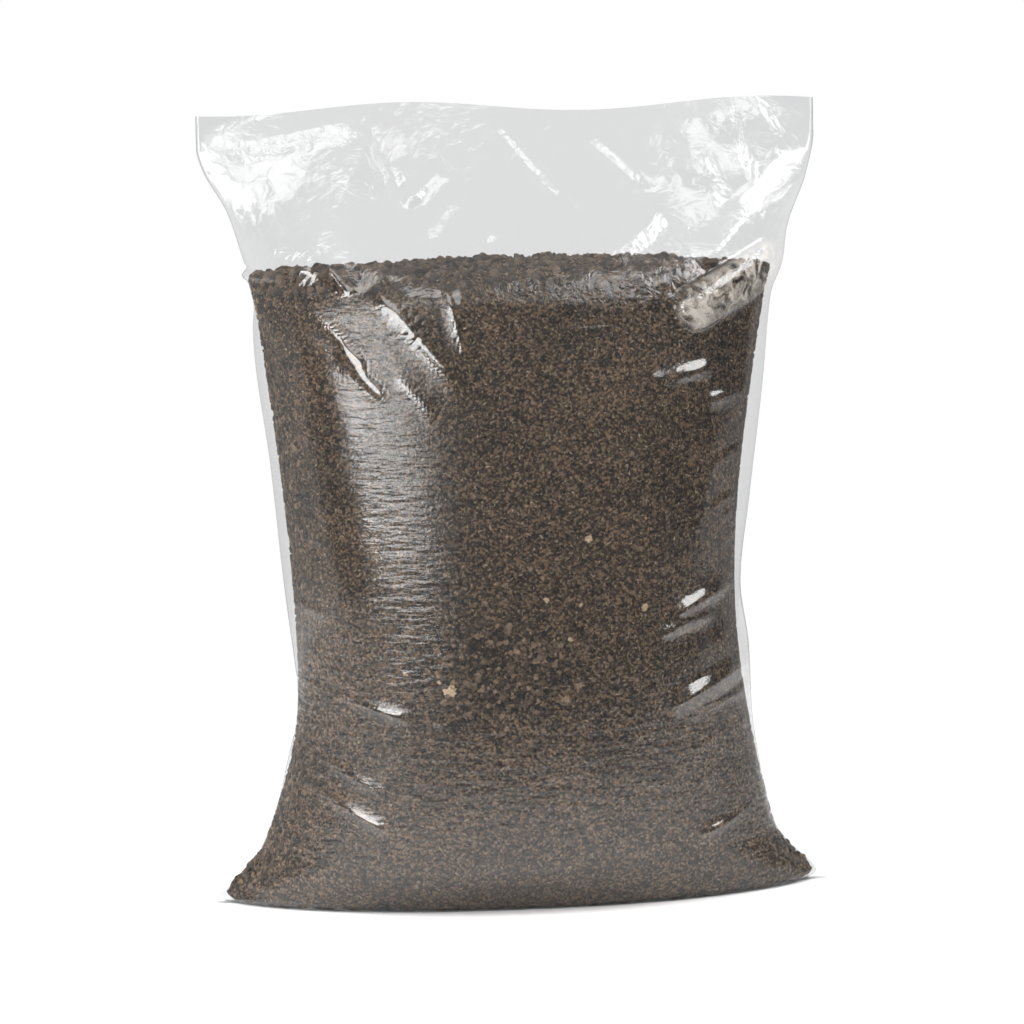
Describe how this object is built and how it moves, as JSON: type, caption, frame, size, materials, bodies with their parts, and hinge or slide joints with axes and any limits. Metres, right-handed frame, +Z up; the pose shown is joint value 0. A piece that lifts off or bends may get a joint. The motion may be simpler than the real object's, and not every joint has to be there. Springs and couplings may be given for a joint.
{
  "type": "topsoil bag",
  "caption": "Clear film bag of dark topsoil standing on its base, with the empty film above the soil pressed flat at the mouth.",
  "frame": {"origin": "on the floor, under the middle of the bag", "axes": "+Z up, +X to the right seen from the front, +Y from the front to the back"},
  "size_m": [0.4, 0.198, 0.516],
  "materials": {
    "clear_film": "clear glossy polythene film, creased and slightly hazy",
    "dark_soil": "loose dark brown earth of fine crumbs, with small pale lumps and fibres"
  },
  "bodies": {
    "root": {"film_bag": "clear_film", "soil_fill": "dark_soil"}
  },
  "joints": []
}
